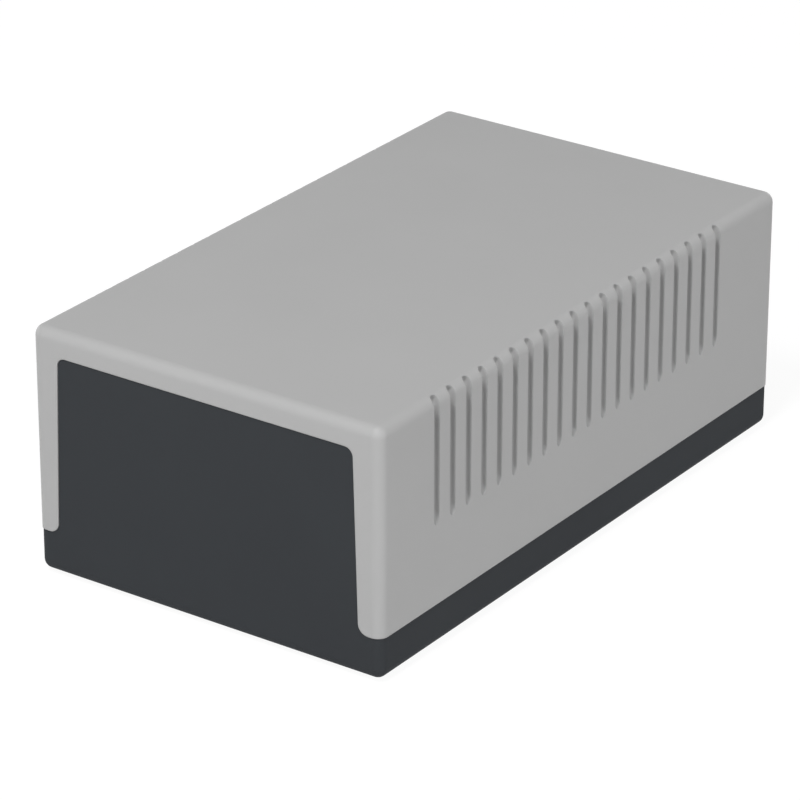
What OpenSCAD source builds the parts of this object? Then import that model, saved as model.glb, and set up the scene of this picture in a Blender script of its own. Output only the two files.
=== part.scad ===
// Desktop project box in two moulded shells.
// The dark base carries the floor and the two end walls. The light top shell carries the
// roof, the side walls and a frame that drops over each end wall. Four screws from
// below hold the two together, and four rubber feet sit in recesses under the floor.
//
// Millimetres, +Z up. The origin is on the surface that the feet stand on, under the
// middle of the box, and the front end wall faces -Y.

/* [Case] */
// Outside width, side to side
case_w = 110; // [96:1:140]
// Outside depth, front to back
case_d = 188; // [184:1:240]
// Outside height, without the feet
case_h = 70; // [58:1:90]
// Height of the base up to the joint between the shells
base_h = 12; // [10:0.5:16]
// Rounding of the outside edges and corners
edge_r = 3; // [2.5:0.1:4]
// Thickness of walls, floor and roof
wall = 2.5; // [2:0.1:3]
// How far the base stands in from the top shell, all round
base_inset = 0.25; // [0.1:0.05:0.4]
// Rounding inside the shells, where walls meet floor or roof
inside_r = 1.5; // [1:0.1:2.5]
// Draft of the inside faces, in degrees
draft = 0.6; // [0.2:0.1:1]

/* [End walls] */
// Width of the top shell's leg beside each end opening, at the joint
leg_w = 6.95; // [6:0.05:10]
// Height of the top shell left above the opening
brow_h = 7.15; // [6:0.05:12]
// Lean of the opening's sides, in degrees
window_lean = 1.75; // [0.5:0.05:3]
// Rounding of the opening's top corners
window_r = 2.5; // [1.5:0.1:4]
// Rounding of the top shell's legs, at the foot of the opening
leg_r = 3; // [1.5:0.1:3.2]
// Gap between an end wall and the opening round it
window_gap = 0.1; // [0.05:0.05:0.3]
// How far the lip behind the opening covers the end wall
lip_cover = 2.5; // [1.5:0.1:4]
// Thickness of that lip
lip_t = 2; // [1.5:0.1:3]

/* [Grooves] */
// Spacing of the grooves
groove_pitch = 7; // [5:0.1:9]
// Distance of the first groove from the front
groove_first = 24.15; // [15:0.05:40]
// Least distance of the last groove from the rear
groove_back = 30.8; // [15:0.1:40]
// Width of a groove, where its round bottom meets its walls
groove_w = 2.3; // [1.6:0.1:2.5]
// Depth of a groove where the side wall meets the rounded top edge
groove_depth = 1.85; // [1.3:0.05:1.95]
// Draft of a groove's walls, in degrees
groove_draft = 8; // [4:1:10]
// Height above the bottom of the base at which a groove starts to curve out of the wall
groove_foot = 38.6; // [30:0.1:45]
// Radius of that curve
groove_foot_r = 4.5; // [4:0.1:6]
// How far a groove wraps over the rounded top edge, in degrees
groove_wrap = 37; // [20:1:42]
// How much wider than the rounded top edge its curve is there
groove_sweep = 1.2; // [0.4:0.1:2]

/* [Screws] */
// Distance of a screw from the side of the case
screw_in_x = 10; // [9:0.5:12]
// Distance of a screw from the end of the case
screw_in_y = 12; // [11:0.5:16]
// Diameter of the thread
thread_d = 3; // [2.5:0.1:3.6]
// Length of the screw under its head
screw_len = 12; // [10:1:16]
// Diameter of the head
head_d = 5.6; // [5:0.1:6]
// Height of the head
head_h = 2.2; // [1.8:0.1:2.4]
// Depth of the head below the bottom of the base
head_sunk = 1; // [0.4:0.1:1.5]
// Height of the base's bosses above the bottom of the base
boss_h = 8.5; // [7:0.1:9.5]

/* [Circuit board posts] */
// Spacing of the posts, side to side
board_x = 76; // [50:1:80]
// Spacing of the posts, front to back
board_y = 110; // [60:1:112]
// Height of the posts above the floor
post_h = 6; // [4:0.5:10]
// Diameter of the screw hole in a post
post_hole_d = 2.2; // [1.8:0.1:2.8]

/* [Feet] */
// Diameter of a rubber foot
foot_d = 12; // [8:0.5:14]
// Thickness of a foot
foot_h = 2; // [1.6:0.1:2.4]
// How far a foot stands out of the base
foot_out = 1; // [0.8:0.1:1.2]
// Distance of a foot from the side of the case
foot_in_x = 13; // [11:0.5:18]
// Distance of a foot from the end of the case
foot_in_y = 26; // [24:0.5:32]

/* [Hidden] */
CORNERS = ["front_left", "front_right", "rear_left", "rear_right"];
CORNER_SIDES = [[-1, -1], [1, -1], [-1, 1], [1, 1]];
$fn = 64;

light_grey = "#b4b5b4";
graphite = "#3e3f41";
zinc = "#b9bcc0";
black_rubber = "#1d1d1e";

// Half sizes to the micron, so that faces meant to be flush stay flush
half_w = round(case_w * 500) / 1000;
half_d = round(case_d * 500) / 1000;

// Heights
bottom_z = foot_out;
floor_z = bottom_z + wall;
joint_z = bottom_z + base_h;
top_z = bottom_z + case_h;
roof_z = top_z - wall;
seat_z = bottom_z + head_sunk + head_h;
boss_z = bottom_z + boss_h;

// The base, inside the line of the top shell
base_half_w = half_w - base_inset;
base_half_d = half_d - base_inset;
base_r = edge_r - base_inset;

// Parting of the shells
window_w = 2 * (half_w - leg_w);
window_h = case_h - base_h - brow_h;
lip_band = 3;         // width of the lip's own root, outside the opening
lip_foot = 0.6;       // height of the lip's end above the joint
tongue_t = 1.2;       // tongue along each side of the base
tongue_h = 2;
tongue_gap = 0.15;
tongue_end = 9;       // how far a tongue stops short of the end of the case
tongue_len = 2 * (half_d - tongue_end);
tongue_x = base_half_w - wall + tongue_t / 2;

// Bosses, pillars and ribs
boss_r = 4.8;
pillar_r = 4;
pillar_lean = 0.4;    // draft of a pillar, in degrees
rib_t = 1.6;
rib_foot = 6;         // height of a rib's foot above the joint
bite = 0.5;           // how far a rib or post runs into what carries it
screw_x = half_w - screw_in_x;
screw_y = half_d - screw_in_y;
shank_hole_r = thread_d / 2 + 0.2;
thread_hole_r = thread_d / 2 + 0.03;
head_hole_r = head_d / 2 + 0.4;
thread_hole_z = seat_z + screw_len + 2;

gusset_x = 20;        // gussets that brace each end wall
gusset_run = 8;
gusset_rise = 16;
post_r = 3;
post_top_r = 2.7;

foot_gap = 0.15;
foot_x = half_w - foot_in_x;
foot_y = half_d - foot_in_y;

// Grooves: round at the bottom, with straight walls above
groove_r = groove_w / 2;
groove_wall = groove_depth - groove_r;
groove_out = 1.5;      // how far the cutter reaches out of the side wall
groove_early = 0.5;    // how far below the rounded edge a groove's own curve starts
groove_foot_turn = 70; // how far it curves at the foot, to leave the wall
groove_run = case_h - edge_r - groove_early - groove_foot;
groove_last = floor((2 * half_d - groove_first - groove_back) / groove_pitch + 0.001);

// ---------- shared shapes ----------

// Upright outline with two rounded top corners, standing on the x axis
module arch_outline(half, h, r) {
    translate([-half, 0]) square([2 * half, h - r]);
    translate([r - half, 0]) square([2 * (half - r), h]);
    for (side = [-1, 1]) translate([side * (half - r), h - r]) circle(r);
}

// The same with its sides leaning in by an angle as they rise: w is its width at the foot
module leaning_outline(w, h, r, lean) {
    centre = [w / 2 - (h - r) * tan(lean) - r / cos(lean), h - r];
    touch = centre + r * [cos(lean), sin(lean)];
    polygon([
        [-w / 2, 0], [w / 2, 0], touch, [centre.x, h],
        [-centre.x, h], [-touch.x, touch.y],
    ]);
    for (side = [-1, 1]) translate([side * centre.x, centre.y]) circle(r);
}

// Block with a flat underside and every other edge rounded
module rounded_block(half_x, half_y, h, r) {
    rotate([90, 0, 0]) linear_extrude(2 * (half_y - r), center = true) arch_outline(half_x, h, r);
    rotate([90, 0, 90]) linear_extrude(2 * (half_x - r), center = true) arch_outline(half_y, h, r);
    for (x = [-1, 1], y = [-1, 1])
        translate([x * (half_x - r), y * (half_y - r), 0]) {
            cylinder(h = h - r, r = r);
            translate([0, 0, h - r]) sphere(r);
        }
}

// Space inside a shell: w by d at the rim, with drafted sides and a rounded far end
module drafted_space(w, d, h, r) {
    intersection() {
        rotate([90, 0, 0]) linear_extrude(d, center = true) leaning_outline(w, h, r, draft);
        rotate([90, 0, 90]) linear_extrude(w, center = true) leaning_outline(d, h, r, draft);
    }
}

// Disc with its lower rim rounded, standing on the xy plane
module rounded_disc(r, h, rim) {
    rotate_extrude() {
        square([r - rim, h]);
        translate([0, rim]) square([r, h - rim]);
        intersection() {
            translate([r - rim, rim]) circle(rim);
            square([r, h]);
        }
    }
}

// A flat shape stood up at both ends of the case, t thick, its face set in from the front
module at_both_ends(inset, t) {
    for (turn = [0, 180])
        rotate([0, 0, turn])
            translate([0, inset + t - half_d, joint_z])
                rotate([90, 0, 0]) linear_extrude(t) children();
}

module at_corners(x, y, z) {
    for (side = CORNER_SIDES) translate([side.x * x, side.y * y, z]) children();
}

// ---------- end openings and end walls ----------

// Outline of an end opening, from the joint up: the top shell's legs are rounded at
// their feet, so the outline flares out there. gap makes it smaller all round.
module window_outline(gap) {
    leg_centre = [window_w / 2 - leg_r * tan(window_lean) + leg_r / cos(window_lean), leg_r];
    leg_touch = leg_centre - leg_r * [cos(window_lean), sin(window_lean)];
    inner_w = window_w - 2 * gap / cos(window_lean);
    leaning_outline(inner_w, window_h - gap, window_r - gap, window_lean);
    for (side = [0, 1])
        mirror([side, 0])
            difference() {
                polygon([[leg_touch.x - 2, 0], [leg_centre.x, 0], leg_centre, leg_touch, [leg_touch.x - 2, leg_touch.y]]);
                translate(leg_centre) circle(leg_r + gap);
            }
}

// Lip behind an opening, which the end wall leans back on
module lip_outline() {
    difference() {
        translate([0, lip_foot])
            leaning_outline(window_w + 2 * lip_band, window_h + lip_band - lip_foot,
                window_r + lip_band, window_lean);
        leaning_outline(window_w - 2 * lip_cover, window_h - lip_cover, window_r, window_lean);
    }
}

// ---------- top shell ----------

// Section of a groove: x points out of the side wall, y across the groove
module groove_section() {
    translate([-groove_wall, 0]) circle(groove_r);
    flare = groove_r + (groove_wall + groove_out) * tan(groove_draft);
    polygon([[-groove_wall, -groove_r], [groove_out, -flare], [groove_out, flare], [-groove_wall, groove_r]]);
}

// Rounded end of a groove, the section spun round its own middle
module groove_end() {
    rotate([0, 90, 0])
        rotate_extrude()
            intersection() {
                rotate(90) groove_section();
                translate([0, -groove_depth]) square([groove_w + groove_out, groove_depth + groove_out]);
            }
}

// One groove on the right side. Its bottom is parallel to the drafted inside face. It curves
// out of the wall at its foot, and gets shallower as it wraps over the rounded top edge.
module groove_cutter() {
    translate([half_w - edge_r, 0, top_z - edge_r - groove_early]) rotate([0, -draft, 0]) {
        translate([edge_r, 0, -groove_run]) linear_extrude(groove_run) groove_section();
        translate([edge_r + groove_foot_r, 0, -groove_run])
            rotate([90, 180, 0])
                rotate_extrude(angle = groove_foot_turn)
                    translate([groove_foot_r, 0]) mirror([1, 0]) groove_section();
        translate([-groove_sweep, 0, 0]) {
            rotate([90, 0, 0])
                rotate_extrude(angle = groove_wrap)
                    translate([edge_r + groove_sweep, 0]) groove_section();
            rotate([0, -groove_wrap, 0]) translate([edge_r + groove_sweep, 0, 0]) groove_end();
        }
    }
}

module side_grooves() {
    for (side = [0, 1], i = [0 : groove_last])
        mirror([side, 0, 0])
            translate([0, groove_first + i * groove_pitch - half_d, 0]) groove_cutter();
}

// Screw pillar hanging from the roof, with a rib to the side wall and one to the lip
module pillar(side) {
    length = roof_z - boss_z + bite;
    side_wall_x = half_w - wall + bite;
    lip_y = half_d - wall - lip_t;
    translate([side.x * screw_x, side.y * screw_y, boss_z])
        cylinder(h = length, r1 = pillar_r, r2 = pillar_r + length * tan(pillar_lean));
    translate([side.x * (screw_x + side_wall_x) / 2, side.y * screw_y, (joint_z + rib_foot + roof_z) / 2])
        cube([side_wall_x - screw_x, rib_t, roof_z - joint_z - rib_foot + 2 * bite], center = true);
    translate([side.x * screw_x, side.y * (screw_y + lip_y + bite) / 2, (joint_z + rib_foot + roof_z) / 2])
        cube([rib_t, lip_y + bite - screw_y, roof_z - joint_z - rib_foot + 2 * bite], center = true);
}

module top_shell() {
    color(light_grey) difference() {
        union() {
            difference() {
                translate([0, 0, joint_z]) rounded_block(half_w, half_d, case_h - base_h, edge_r);
                translate([0, 0, joint_z])
                    drafted_space(2 * (half_w - wall), 2 * (half_d - wall), roof_z - joint_z, inside_r);
            }
            at_both_ends(wall - bite, lip_t + bite) lip_outline();
            for (side = CORNER_SIDES) pillar(side);
        }
        at_both_ends(-1, 1 + base_inset + wall + window_gap) window_outline(0);
        side_grooves();
        // rebates for the base's tongues
        for (side = [-1, 1])
            translate([side * tongue_x, 0, joint_z])
                cube([tongue_t, tongue_len, 2 * tongue_h] + 2 * tongue_gap * [1, 1, 1], center = true);
        at_corners(screw_x, screw_y, boss_z - 1) cylinder(h = thread_hole_z - boss_z + 1, r = thread_hole_r);
    }
}

// ---------- base shell ----------

module base_tray() {
    difference() {
        translate([0, 0, joint_z])
            mirror([0, 0, 1]) rounded_block(base_half_w, base_half_d, base_h, base_r);
        translate([0, 0, joint_z])
            mirror([0, 0, 1])
                drafted_space(2 * (base_half_w - wall), 2 * (base_half_d - wall), base_h - wall, inside_r);
    }
}

// Triangular gusset between the floor and an end wall
module gussets() {
    for (turn = [0, 180], x = [-gusset_x, gusset_x])
        rotate([0, 0, turn])
            translate([x - rib_t / 2, wall - bite - base_half_d, floor_z - bite])
                rotate([90, 0, 90]) linear_extrude(rib_t)
                    polygon([[0, 0], [gusset_run, 0], [gusset_run, bite], [bite, gusset_rise], [0, gusset_rise]]);
}

module base_shell() {
    color(graphite) difference() {
        union() {
            base_tray();
            at_both_ends(base_inset, wall) window_outline(window_gap);
            gussets();
            for (side = [-1, 1])
                translate([side * tongue_x, 0, joint_z])
                    cube([tongue_t, tongue_len, 2 * tongue_h], center = true);
            at_corners(screw_x, screw_y, floor_z - bite) cylinder(h = boss_z - floor_z + bite, r = boss_r);
            at_corners(board_x / 2, board_y / 2, floor_z - bite)
                cylinder(h = post_h + bite, r1 = post_r, r2 = post_top_r);
        }
        at_corners(screw_x, screw_y, bottom_z - 1) {
            cylinder(h = seat_z - bottom_z + 1, r = head_hole_r);
            cylinder(h = base_h, r = shank_hole_r);
        }
        at_corners(board_x / 2, board_y / 2, floor_z) cylinder(h = post_h + 1, r = post_hole_d / 2);
        at_corners(foot_x, foot_y, bottom_z - 1)
            cylinder(h = foot_h - foot_out + 1, r = foot_d / 2 + foot_gap);
    }
}

// ---------- screws and feet ----------

// Pan-head screw, head down, with a cross recess
module case_screw(side) {
    tip_h = thread_d / 2;
    color(zinc)
        translate([side.x * screw_x, side.y * screw_y, seat_z])
            difference() {
                union() {
                    translate([0, 0, -head_h]) rounded_disc(head_d / 2, head_h, head_h * 0.4);
                    cylinder(h = screw_len - tip_h, r = thread_d / 2);
                    translate([0, 0, screw_len - tip_h]) cylinder(h = tip_h, r1 = thread_d / 2, r2 = thread_d / 8);
                }
                for (turn = [0, 90])
                    rotate([0, 0, turn])
                        translate([0, 0, -head_h]) cube([head_d * 0.55, head_d * 0.15, head_h * 1.2], center = true);
            }
}

module foot(side) {
    color(black_rubber)
        translate([side.x * foot_x, side.y * foot_y, 0])
            rounded_disc(foot_d / 2, foot_h, foot_out / 2);
}

top_shell();
base_shell();
for (i = [0 : 3]) {
    case_screw(CORNER_SIDES[i]);
    foot(CORNER_SIDES[i]);
}
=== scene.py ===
# %% [markdown]
# # A desktop project box in two moulded shells
#
# The real object is a plastic case for home-built electronics. A dark base carries the floor
# and both end walls. A light grey top shell drops over it, with twenty grooves down each side
# that give the fingers a grip and run over the rounded top edge.
#
# The two shells are already exact solids in the frame, so this lesson does not model them
# again. It gives them their moulded finish, builds the four screws with real threads, and sets
# up the floor, the lights and the camera.

import math

import bmesh
import bpy
from mathutils import Matrix, Vector


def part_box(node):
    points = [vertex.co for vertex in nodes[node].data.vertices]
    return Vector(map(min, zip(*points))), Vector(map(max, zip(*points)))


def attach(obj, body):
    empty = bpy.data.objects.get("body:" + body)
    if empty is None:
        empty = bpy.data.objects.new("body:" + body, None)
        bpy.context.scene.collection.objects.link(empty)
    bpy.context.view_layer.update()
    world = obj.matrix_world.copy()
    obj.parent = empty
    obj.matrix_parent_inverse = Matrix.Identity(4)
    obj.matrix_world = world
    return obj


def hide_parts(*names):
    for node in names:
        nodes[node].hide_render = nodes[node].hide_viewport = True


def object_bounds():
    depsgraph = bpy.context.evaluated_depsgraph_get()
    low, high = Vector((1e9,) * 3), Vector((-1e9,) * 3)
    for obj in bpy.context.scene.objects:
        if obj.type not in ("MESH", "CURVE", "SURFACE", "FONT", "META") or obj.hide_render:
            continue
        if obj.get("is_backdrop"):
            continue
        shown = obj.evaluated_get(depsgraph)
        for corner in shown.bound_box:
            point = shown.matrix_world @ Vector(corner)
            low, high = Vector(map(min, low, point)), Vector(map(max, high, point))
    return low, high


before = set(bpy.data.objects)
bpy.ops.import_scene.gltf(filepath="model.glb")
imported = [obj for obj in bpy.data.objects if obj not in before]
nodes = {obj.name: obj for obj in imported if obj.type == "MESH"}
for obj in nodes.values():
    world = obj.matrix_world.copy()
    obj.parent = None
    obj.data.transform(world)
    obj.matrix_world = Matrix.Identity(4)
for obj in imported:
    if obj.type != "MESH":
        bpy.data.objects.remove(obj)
cad_low, cad_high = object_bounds()
scene = bpy.context.scene
scene.view_settings.view_transform = "Standard"
print("pieces in the frame:", ", ".join(sorted(nodes)))
print("case size in mm:", [round(1000 * d, 1) for d in cad_high - cad_low])

# %% [markdown]
# ## The camera
#
# A long lens from more than a metre away keeps the box's edges nearly parallel, as in a
# catalogue picture. It could be aimed with a Track To constraint, but three plain turns say
# more: round to the right of the front, down from the horizon, and a hair of roll.

# %% Place the camera
LENS_MM = 200.04
CAMERA_PLACE = (0.620095, -0.889746, 0.534755)
TURN_RIGHT, LOOK_DOWN, ROLL = (math.radians(a) for a in (35.106, 25.018, 0.069))

camera = bpy.data.objects.new("camera", bpy.data.cameras.new("camera"))
scene.collection.objects.link(camera)
camera.data.lens = LENS_MM
camera.data.clip_end = 20
camera.matrix_world = (
    Matrix.Translation(CAMERA_PLACE)
    @ Matrix.Rotation(TURN_RIGHT, 4, "Z")
    @ Matrix.Rotation(math.pi / 2 - LOOK_DOWN, 4, "X")
    @ Matrix.Rotation(ROLL, 4, "Z")
)
scene.camera = camera
print("camera to box:", round(1000 * (Vector(CAMERA_PLACE) - (cad_low + cad_high) / 2).length), "mm")

# %% [markdown]
# ## Writing shaders as sums
#
# Wiring nodes one by one hides the idea of a finish behind its plumbing. Here a small class
# wraps a socket, so that `0.45 + 0.1 * grain` adds the two Math nodes by itself, and one
# method makes any other node from its settings and what its sockets are fed.


# %% A socket that can be added and multiplied
class Value:
    """One output of a node. An operator adds the Math node that works it out."""

    def __init__(self, recipe, socket):
        self.recipe, self.socket = recipe, socket

    def _math(self, operation, a, b):
        return self.recipe.add("Math", {"operation": operation}, {0: a, 1: b})

    def __add__(self, other):
        return self._math("ADD", self, other)

    def __sub__(self, other):
        return self._math("SUBTRACT", self, other)

    def __mul__(self, other):
        return self._math("MULTIPLY", self, other)

    def __pow__(self, other):
        return self._math("POWER", self, other)

    __radd__, __rmul__ = __add__, __mul__

    def clamped(self):
        return self.recipe.add("Clamp", {}, {"Value": self})

    def output(self, name):
        """Another output of the same node."""
        return Value(self.recipe, self.socket.node.outputs[name])


# %% A node tree that is written down as a recipe
class Recipe:
    """The node tree of a material or a world, and one method that adds any node to it."""

    def __init__(self, owner):
        owner.use_nodes = True
        self.owner, self.tree = owner, owner.node_tree
        self.tree.nodes.clear()

    def add(self, kind, settings, feeds, output=0):
        """Adds a node, sets it up, feeds its sockets by name or number, and gives one output."""
        node = self.tree.nodes.new("ShaderNode" + kind)
        for key, value in settings.items():
            setattr(node, key, value)
        for key, value in feeds.items():
            if isinstance(value, Value):
                self.tree.links.new(value.socket, node.inputs[key])
            else:
                node.inputs[key].default_value = value
        return Value(self, node.outputs[output])

    def blend(self, amount, first, second):
        """Mixes two colours by an amount. The Mix node's colour sockets are its 6 and 7."""
        return self.add("Mix", {"data_type": "RGBA"}, {0: amount, 6: first, 7: second}, output=2)

    def noise(self, place, per_metre, detail, roughness=0.5):
        return self.add("TexNoise", {}, {
            "Vector": place, "Scale": per_metre, "Detail": detail, "Roughness": roughness})

    def bump(self, height, depth_mm, **more):
        """Tilts the surface as if it rose and fell by depth_mm with the height."""
        return self.add("Bump", {}, {
            "Height": height, "Strength": 1.0, "Distance": depth_mm / 1000, **more})

    def finish_with(self, shader, kind="OutputMaterial"):
        output = self.tree.nodes.new("ShaderNode" + kind)
        self.tree.links.new(shader.socket, output.inputs["Surface"])
        return self.owner


# %% [markdown]
# ## Moulded plastic
#
# Both shells are ABS from a spark-eroded mould: the steel has a fine, even pitting, and the
# plastic takes it as tiny bumps a few tenths of a millimetre apart. It kills sharp reflections,
# which is why such a box looks soft and matt. The colour itself is nearly flat, with faint
# cloudy flow marks that only show in raking light. The very edges of a moulding are never
# knife sharp, so a Bevel node turns the light round them over a fraction of a millimetre. The
# dark base gets much less sheen than the cover: at the camera's shallow angle a full share of
# reflected white would turn it grey.


# %% The recipe for moulded plastic
def srgb(*levels):
    """A colour given in 0-255 display levels, as the linear colour that a shader wants."""
    linear = [((v / 255 + 0.055) / 1.055) ** 2.4 for v in levels]
    return (*linear, 1.0)


def moulded_plastic(name, colour, cloud_colour, roughness, sheen, edge_mm):
    grain_mm, grain_depth_mm, clouds_per_metre = 0.35, 0.012, 28
    skin = Recipe(bpy.data.materials.new(name))
    place = skin.add("TexCoord", {}, {}, output="Object")
    grain = skin.noise(place, 1000 / grain_mm, detail=2, roughness=0.6)
    cloud = skin.noise(place, clouds_per_metre, detail=3)
    tint = skin.blend((cloud * 0.7 + grain * 0.3).clamped(), colour, cloud_colour)
    rounded = skin.add("Bevel", {"samples": 4}, {"Radius": edge_mm / 1000})
    surface = skin.add("BsdfPrincipled", {}, {
        "Base Color": tint, "Roughness": roughness + 0.08 * (cloud - 0.5), "IOR": 1.5,
        "Specular IOR Level": sheen, "Normal": skin.bump(grain, grain_depth_mm, Normal=rounded)})
    return skin.finish_with(surface)


light_grey = moulded_plastic("light_grey_abs", srgb(178, 178, 178), srgb(174, 174, 174),
                             roughness=0.48, sheen=0.32, edge_mm=0.5)
graphite = moulded_plastic("graphite_abs", srgb(60, 63, 66), srgb(57, 59, 62),
                           roughness=0.62, sheen=0.05, edge_mm=0.2)
print("plastics:", light_grey.name, graphite.name)


# %% [markdown]
# ## Zinc and rubber
#
# The screws are turned and zinc plated. The lathe leaves fine rings round the axis, which are a
# wave of the distance from it. All four screws share one material: the box is symmetrical, so
# dropping the signs of x and y folds the four places onto one. The rubber feet use the same
# fold for the soft rings that their turned mould leaves.


# %% Distance from the axis of the nearest of four matching pieces, and a wave of it
def ring_distance(recipe, name):
    low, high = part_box(name)
    place = recipe.add("TexCoord", {}, {}, output="Object")
    x = recipe.add("SeparateXYZ", {}, {0: place}, output="X")
    dx = (x * x) ** 0.5 - abs(low.x + high.x) / 2
    y = x.output("Y")
    dy = (y * y) ** 0.5 - abs(low.y + high.y) / 2
    return place, (dx * dx + dy * dy) ** 0.5


def wave(recipe, reach, radians_per_metre):
    return recipe.add("Math", {"operation": "SINE"}, {0: reach * radians_per_metre})


# %% The recipe for zinc plate
def zinc_plate(name, like):
    skin = Recipe(bpy.data.materials.new(name))
    place, reach = ring_distance(skin, like)
    rings = wave(skin, reach, 42000)
    cloud = skin.noise(place, 900, detail=3)
    tint = skin.blend(cloud, srgb(214, 215, 218), srgb(190, 193, 200))
    surface = skin.add("BsdfPrincipled", {}, {
        "Base Color": tint, "Metallic": 1.0, "Roughness": 0.26 + 0.16 * cloud,
        "Normal": skin.bump(rings * 0.5 + cloud, depth_mm=0.003)})
    return skin.finish_with(surface)


# %% The recipe for rubber
def foot_rubber(name, like):
    skin = Recipe(bpy.data.materials.new(name))
    place, reach = ring_distance(skin, like)
    grain = skin.noise(place, 4500, detail=3, roughness=0.65)
    dust = skin.noise(place, 130, detail=4, roughness=0.6)
    rings = wave(skin, reach, 6300)
    tint = skin.blend(dust, srgb(30, 30, 31), srgb(46, 45, 44))
    surface = skin.add("BsdfPrincipled", {}, {
        "Base Color": tint, "Roughness": 0.78 + 0.15 * dust, "IOR": 1.5,
        "Normal": skin.bump(grain * 0.3 + rings * 0.4, depth_mm=0.05)})
    return skin.finish_with(surface)


zinc = zinc_plate("zinc_plate", "case_screw_front_left")
rubber = foot_rubber("black_rubber", "foot_front_left")
print("more finishes:", zinc.name, rubber.name)

# %% Give the frame's own pieces their finish
finishes = {"top": light_grey, "base": graphite, "foot": rubber, "case": zinc}
for name, piece in nodes.items():
    finish = finishes[name.split("_")[0]]
    piece.data.materials.clear()
    piece.data.materials.append(finish)
    print(name, "is", finish.name)

# %% [markdown]
# ## Zinc-plated screws
#
# Four pan-head screws with a cross recess hold the shells together from below, each sunk in its
# own counterbore. Seen from underneath they are the only metal on the box. The frame holds plain
# stand-ins for them, so each gets a detailed mesh. The head and core are one profile spun round
# the axis. The thread is a small triangle spun with a steady climb, and the recess is a cross
# cut into the head's flat and pushed in. A boolean would also cut the recess, but splitting the
# flat with four planes keeps the mesh clean and every step readable.

# %% Sizes of a screw, in millimetres
screw_names = sorted(name for name in nodes if name.startswith("case_screw"))
low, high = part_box(screw_names[0])
HEAD_R = 500 * (high.x - low.x)
LENGTH = 1000 * (high.z - low.z)
HEAD_H, CROWN_H, FLAT_R = 2.2, 0.95, 1.75
CORE_R, CREST_R, PITCH = 1.12, 1.46, 1.1
print("head", round(2 * HEAD_R, 2), "mm across, whole screw", round(LENGTH, 2), "mm long")


# %% The head and core, spun from one profile
def spun(bm, profile, steps):
    """Spins a profile of (radius, height) points once round the z axis."""
    points = [bm.verts.new((r, 0, z)) for r, z in profile]
    edges = [bm.edges.new(pair) for pair in zip(points, points[1:])]
    bmesh.ops.spin(bm, geom=points + edges, cent=(0, 0, 0), axis=(0, 0, 1), dvec=(0, 0, 0),
                   angle=2 * math.pi, steps=steps, use_merge=True)
    bmesh.ops.remove_doubles(bm, verts=bm.verts, dist=1e-4)


def head_and_core(bm):
    """The head is at the bottom, flat side down, and the tip is at the top."""
    quarter = [math.radians(a) for a in range(0, 91, 10)]
    crown = [(FLAT_R + (HEAD_R - FLAT_R) * math.sin(a), CROWN_H * (1 - math.cos(a)))
             for a in quarter]
    rim = [(HEAD_R, 1.9), (HEAD_R - 0.08, HEAD_H - 0.02), (HEAD_R - 0.15, HEAD_H)]
    neck = [(CORE_R + 0.25, HEAD_H), (CORE_R + 0.06, HEAD_H + 0.07), (CORE_R, HEAD_H + 0.25)]
    tip = [(CORE_R, LENGTH - 2.0), (0.7, LENGTH - 0.9), (0.3, LENGTH - 0.15),
           (0.2, LENGTH), (0, LENGTH)]
    spun(bm, [(0, 0)] + crown + rim + neck + tip, steps=48)


# %% The cross recess, pushed into the flat of the head
def on_the_flat(face):
    return face.calc_center_median().z < 0.001


def cross_recess(bm):
    half_slot, arm, deep = 0.42, 1.55, 1.25
    taper, shallower_at_the_ends = 0.62, 0.35
    for axis in ((1, 0, 0), (0, 1, 0)):
        for offset in (-arm, -half_slot, half_slot, arm):
            faces = [f for f in bm.faces if on_the_flat(f)]
            edges = dict.fromkeys(e for f in faces for e in f.edges)
            corners = dict.fromkeys(v for f in faces for v in f.verts)
            bmesh.ops.bisect_plane(bm, geom=[*faces, *edges, *corners], plane_no=axis,
                                   plane_co=[offset * a for a in axis])

    def in_cross(face):
        shorter, longer = sorted(abs(c) for c in face.calc_center_median().xy)
        return on_the_flat(face) and shorter < half_slot and longer < arm

    cross = [f for f in bm.faces if in_cross(f)]
    pushed = bmesh.ops.extrude_face_region(bm, geom=cross)["geom"]
    bmesh.ops.delete(bm, geom=cross, context="FACES")
    for v in pushed:
        if isinstance(v, bmesh.types.BMVert):
            reach = max(abs(v.co.x), abs(v.co.y)) / arm
            v.co.x *= taper
            v.co.y *= taper
            v.co.z += deep * (1 - shallower_at_the_ends * reach)


# %% The thread, a triangle spun with a steady climb
def thread(bm):
    root, half_root, half_crest = CORE_R - 0.08, 0.24, 0.03
    start, end = HEAD_H + 0.9, LENGTH - 1.0
    turns = (end - start) / PITCH
    steps = round(24 * turns)
    section = [(root, -half_root), (CREST_R, -half_crest), (CREST_R, half_crest), (root, half_root)]
    ring = [bm.verts.new((r, 0, start + z)) for r, z in section]
    face = bm.faces.new(ring)
    bmesh.ops.spin(bm, geom=[face] + list(face.edges) + ring, cent=(0, 0, 0), axis=(0, 0, 1),
                   dvec=(0, 0, (end - start) / steps), angle=2 * math.pi * turns, steps=steps)

    # the crest dies away over the tapered tip
    fade_from = LENGTH - 2.4
    for v in bm.verts:
        if v.co.xy.length > CORE_R + 0.1 and v.co.z > fade_from:
            v.co.xy *= 1 - 0.55 * (v.co.z - fade_from) / 1.6


# %% Turn a closed surface outwards
def face_outwards(bm, faces):
    """A closed surface has a positive volume when its faces look outwards."""
    bmesh.ops.recalc_face_normals(bm, faces=faces)
    bm.normal_update()
    if sum(f.calc_center_median().dot(f.normal) * f.calc_area() for f in faces) < 0:
        bmesh.ops.reverse_faces(bm, faces=faces)


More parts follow.
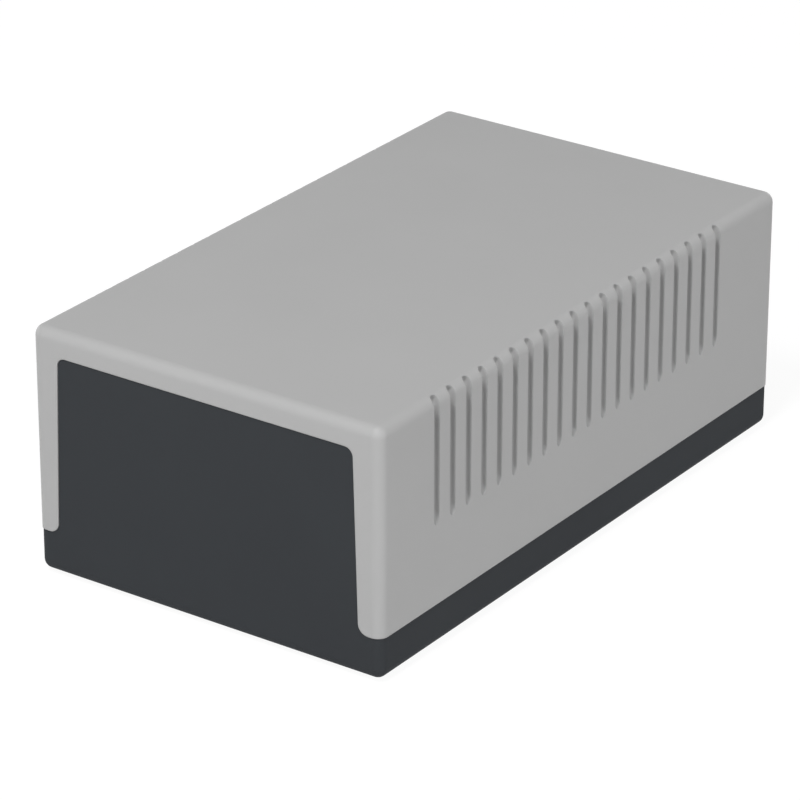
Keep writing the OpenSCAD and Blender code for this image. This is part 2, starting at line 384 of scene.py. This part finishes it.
# %% Put a screw in each place
def place_screw(name, turn_deg):
    low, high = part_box(name)
    bm = bmesh.new()
    head_and_core(bm)
    cross_recess(bm)
    bmesh.ops.dissolve_degenerate(bm, dist=1e-4, edges=bm.edges)
    body = set(bm.faces)
    thread(bm)
    face_outwards(bm, [f for f in bm.faces if f in body])
    face_outwards(bm, [f for f in bm.faces if f not in body])
    place = (
        Matrix.Translation(((low.x + high.x) / 2, (low.y + high.y) / 2, low.z))
        @ Matrix.Rotation(math.radians(turn_deg), 4, "Z")
        @ Matrix.Scale(0.001, 4)
    )
    bmesh.ops.transform(bm, matrix=place, verts=bm.verts)
    mesh = bpy.data.meshes.new(name + "_detailed")
    bm.to_mesh(mesh)
    bm.free()
    screw = bpy.data.objects.new(name + "_detailed", mesh)
    scene.collection.objects.link(screw)
    mesh.set_sharp_from_angle(angle=math.radians(40))
    mesh.materials.append(zinc)
    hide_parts(name)
    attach(screw, "root")
    return screw


for name, turn in zip(screw_names, (12, 61, 34, 80)):
    screw = place_screw(name, turn)
    print(screw.name, len(screw.data.polygons), "faces")

# %% [markdown]
# ## The floor and the white surroundings
#
# A catalogue picture stands its object on white with hardly a shadow. To the camera, and to
# reflections, the floor is an almost white glow under a thin coat of matt paint, so the shadow
# below the box survives as a faint grey. To every other ray it is plain pale card, which
# bounces light up as a real sweep does. From below it is clear, and so it is to shadow rays, so
# that the underside can be both seen and lit. The same switch makes the world white to look at
# but dim as a lamp.
#
# The glow is kept out of the light sampling. Cycles would otherwise count each half of the
# floor's one big square as a lamp of its own, find it dark there, and leave a diagonal step in
# the reflections.


# %% Rays that see the surroundings, rather than gather light
def looking_rays(recipe):
    camera_ray = recipe.add("LightPath", {}, {}, output="Is Camera Ray")
    reflected = camera_ray.output("Is Glossy Ray")
    seen_through = camera_ray.output("Is Transmission Ray")
    return (camera_ray + reflected + seen_through).clamped()


# %% The floor's finish
def grey(level):
    return (level, level, level, 1)


CARD, THIN_COAT, GLOW = 0.8, 0.1, 0.94
pale = Recipe(bpy.data.materials.new("pale_floor"))
card = pale.add("BsdfDiffuse", {}, {"Color": grey(CARD)})
coat = pale.add("BsdfDiffuse", {}, {"Color": grey(THIN_COAT)})
glow = pale.add("Emission", {}, {"Color": grey(1), "Strength": GLOW})
white = pale.add("AddShader", {}, {0: glow, 1: coat})
from_above = pale.add("MixShader", {}, {0: looking_rays(pale), 1: card, 2: white})
underneath = pale.add("NewGeometry", {}, {}, output="Backfacing")
to_a_lamp = pale.add("LightPath", {}, {}, output="Is Shadow Ray")
clear = pale.add("BsdfTransparent", {}, {})
pale_floor = pale.finish_with(pale.add("MixShader", {}, {
    0: (underneath + to_a_lamp).clamped(), 1: from_above, 2: clear}))
pale_floor.cycles.emission_sampling = "NONE"
print("floor finish:", pale_floor.name)

# %% The floor itself, level with the soles of the feet
FLOOR_HALF = 3.0
bm = bmesh.new()
bmesh.ops.create_grid(bm, x_segments=1, y_segments=1, size=FLOOR_HALF)
bmesh.ops.translate(bm, verts=bm.verts, vec=(0, 0, cad_low.z))
floor_mesh = bpy.data.meshes.new("floor")
bm.to_mesh(floor_mesh)
bm.free()
floor_mesh.materials.append(pale_floor)
floor = bpy.data.objects.new("floor", floor_mesh)
scene.collection.objects.link(floor)
floor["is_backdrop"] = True
print("floor:", 2 * FLOOR_HALF, "m square at height", round(1000 * cad_low.z, 3), "mm")

# %% The world
WORLD_LIGHT = 0.05
world = bpy.data.worlds.new("white_studio")
scene.world = world
sky = Recipe(world)
dim_sky = sky.add("Background", {}, {"Color": grey(1), "Strength": WORLD_LIGHT})
white_sky = sky.add("Background", {}, {"Color": grey(1), "Strength": 1.0})
sky.finish_with(
    sky.add("MixShader", {}, {0: looking_rays(sky), 1: dim_sky, 2: white_sky}), kind="OutputWorld")
print("world:", WORLD_LIGHT, "as a lamp, white to look at")

# %% [markdown]
# ## The lamps
#
# Six soft boxes stand round the box, as in a small studio. The strongest is a small one high in
# front: it favours the roof and the rounded edges, and it grazes the right side, so one wall of
# each groove there stays dark. Larger ones fill the front and the right side, and two more stand
# low behind and on the left, where they light only what faces them. The powers were weighed
# against each other by rendering each lamp alone and mixing the results, which is quicker than
# guessing. The last lamp shines up through the floor, which lets shadow rays pass, so that the
# underside can be judged; it hardly touches anything else.

# %% Set up the lamps
LAMP_FAR, AIM_HEIGHT = 1.6, 0.035
lamps = {  # degrees round from the front to the right, degrees up, width in metres, watts
    "front_low": (0, 20, 0.8, 6.3),
    "front_high": (0, 50, 0.4, 2.7),
    "front_top": (10, 60, 0.3, 13.2),
    "right": (90, 15, 0.8, 8.6),
    "behind": (180, 15, 0.8, 4.0),
    "left": (-90, 15, 0.8, 4.0),
    "below": (0, -90, 0.8, 3.0),
}
middle = Vector((0, 0, cad_low.z + AIM_HEIGHT))
for name, (round_deg, up_deg, width, watts) in lamps.items():
    turn, climb = math.radians(round_deg), math.radians(up_deg)
    level = Vector((math.sin(turn), -math.cos(turn), 0))
    outward = level * math.cos(climb) + Vector((0, 0, math.sin(climb)))
    lamp = bpy.data.lights.new(name, "AREA")
    lamp.shape, lamp.size, lamp.energy = "SQUARE", width, watts
    stand = bpy.data.objects.new(name, lamp)
    stand.location = middle + LAMP_FAR * outward
    stand.rotation_euler = (-outward).to_track_quat("-Z", "Y").to_euler()
    scene.collection.objects.link(stand)
    print(name, "lamp,", watts, "W,", width, "m square")

# %% Write the sizes and finish
visual_low, visual_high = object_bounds()
growth = (visual_high - visual_low) - (cad_high - cad_low)
print("grown by, in mm:", [round(1000 * d, 4) for d in growth])
